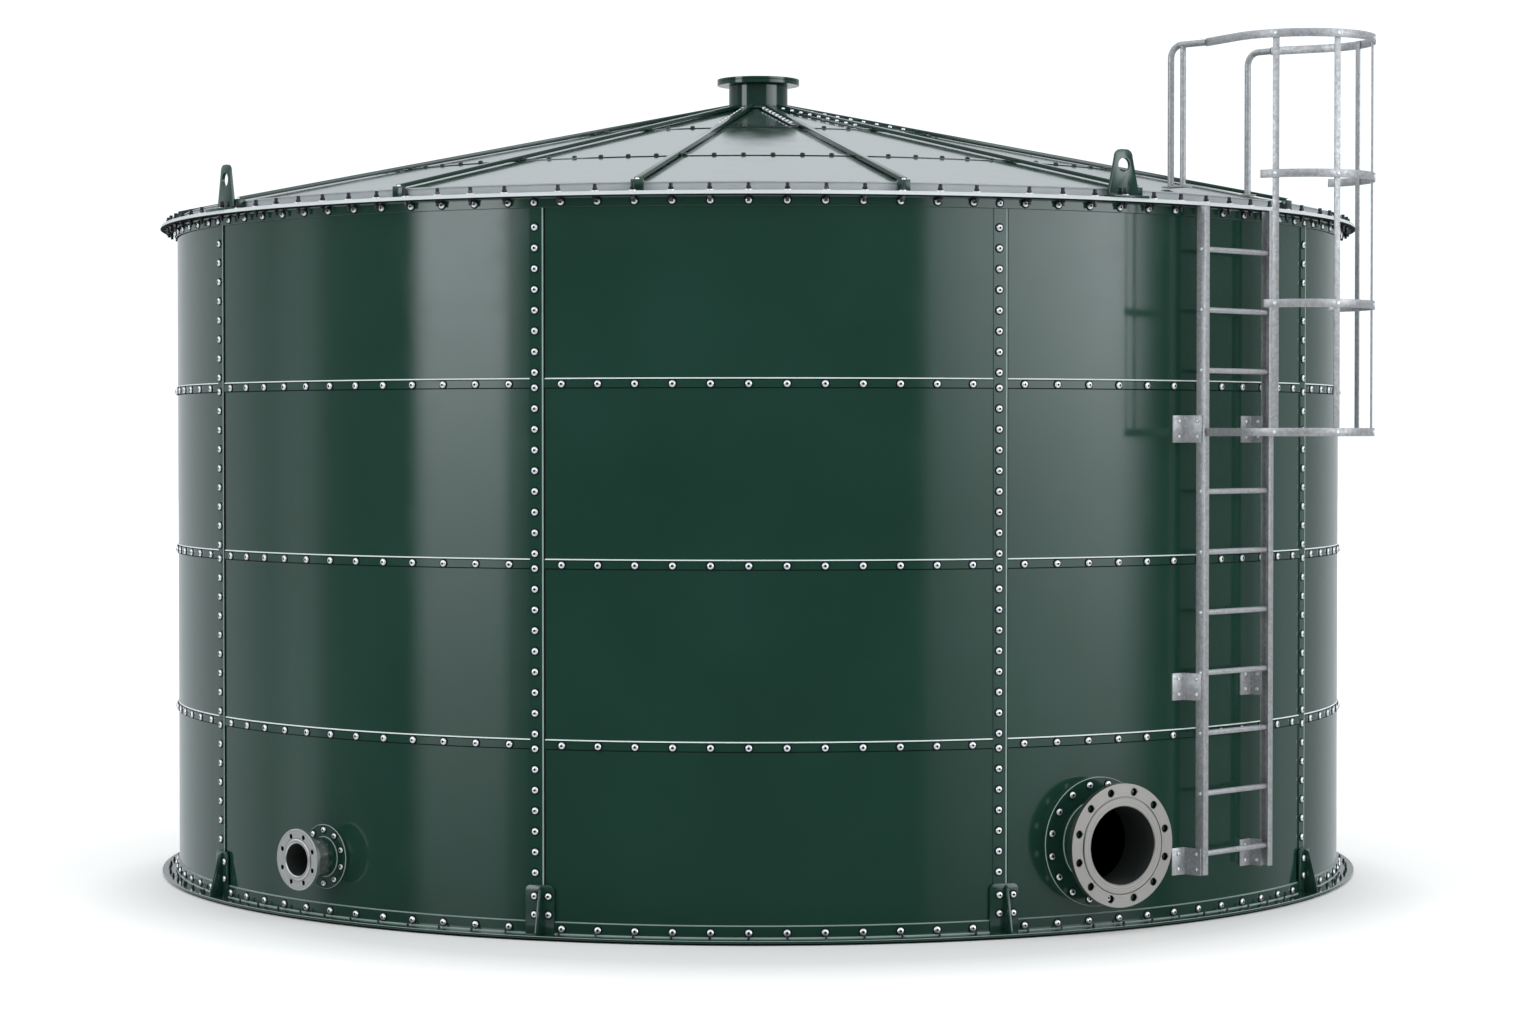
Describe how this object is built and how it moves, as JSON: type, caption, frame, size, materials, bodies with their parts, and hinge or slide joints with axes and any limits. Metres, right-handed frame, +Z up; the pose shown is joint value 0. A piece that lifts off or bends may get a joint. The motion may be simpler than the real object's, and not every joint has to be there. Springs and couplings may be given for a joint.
{
  "type": "bolted steel tank",
  "caption": "Cylindrical tank of bolted, lapped steel plates with a low conical ribbed roof, flanged nozzles, lifting lugs and a caged ladder up its side.",
  "frame": {"origin": "on the tank's vertical axis at ground level, the underside of the floor plate", "axes": "+Z up along the tank's axis, -Y is the front, +X is to the right when the front is looked at"},
  "size_m": [6.688, 6.688, 4.443],
  "materials": {
    "green_paint": "glossy dark green paint",
    "dark_underside": "matt dark coating",
    "galvanised_steel": "galvanised",
    "stainless_steel": "machined"
  },
  "bodies": {
    "root": {"bottom_plate": "dark_underside", "base_ring": "green_paint", "wall_bay_1": "green_paint", "wall_bay_2": "green_paint", "wall_bay_3": "green_paint", "wall_bay_4": "green_paint", "wall_bay_5": "green_paint", "wall_bay_6": "green_paint", "wall_bay_7": "green_paint", "wall_bay_8": "green_paint", "wall_bay_9": "green_paint", "top_ring": "green_paint", "eave_strip": "galvanised_steel", "roof_outer_ring": "green_paint", "roof_middle_ring": "green_paint", "roof_inner_ring": "green_paint", "roof_ribs": "green_paint", "roof_neck": "green_paint", "neck_cover": "green_paint", "lifting_lug_1": "green_paint", "lifting_lug_2": "green_paint", "lifting_lug_3": "green_paint", "lifting_lug_4": "green_paint", "large_nozzle_pad": "green_paint", "large_nozzle_pipe": "green_paint", "large_nozzle_stub": "stainless_steel", "large_nozzle_flange": "stainless_steel", "small_nozzle_pad": "green_paint", "small_nozzle_pipe": "green_paint", "small_nozzle_stub": "stainless_steel", "small_nozzle_flange": "stainless_steel", "ladder": "galvanised_steel", "ladder_bracket_low_near": "galvanised_steel", "ladder_bracket_low_far": "galvanised_steel", "ladder_bracket_middle_near": "galvanised_steel", "ladder_bracket_middle_far": "galvanised_steel", "ladder_bracket_high_near": "galvanised_steel", "ladder_bracket_high_far": "galvanised_steel", "cage_hoop_1": "galvanised_steel", "cage_hoop_2": "galvanised_steel", "cage_hoop_3": "galvanised_steel", "cage_hoop_4": "galvanised_steel", "cage_bar_1": "galvanised_steel", "cage_bar_2": "galvanised_steel", "cage_bar_3": "galvanised_steel", "cage_bar_4": "galvanised_steel", "hand_rail_near": "galvanised_steel", "hand_rail_far": "galvanised_steel"}
  },
  "joints": []
}
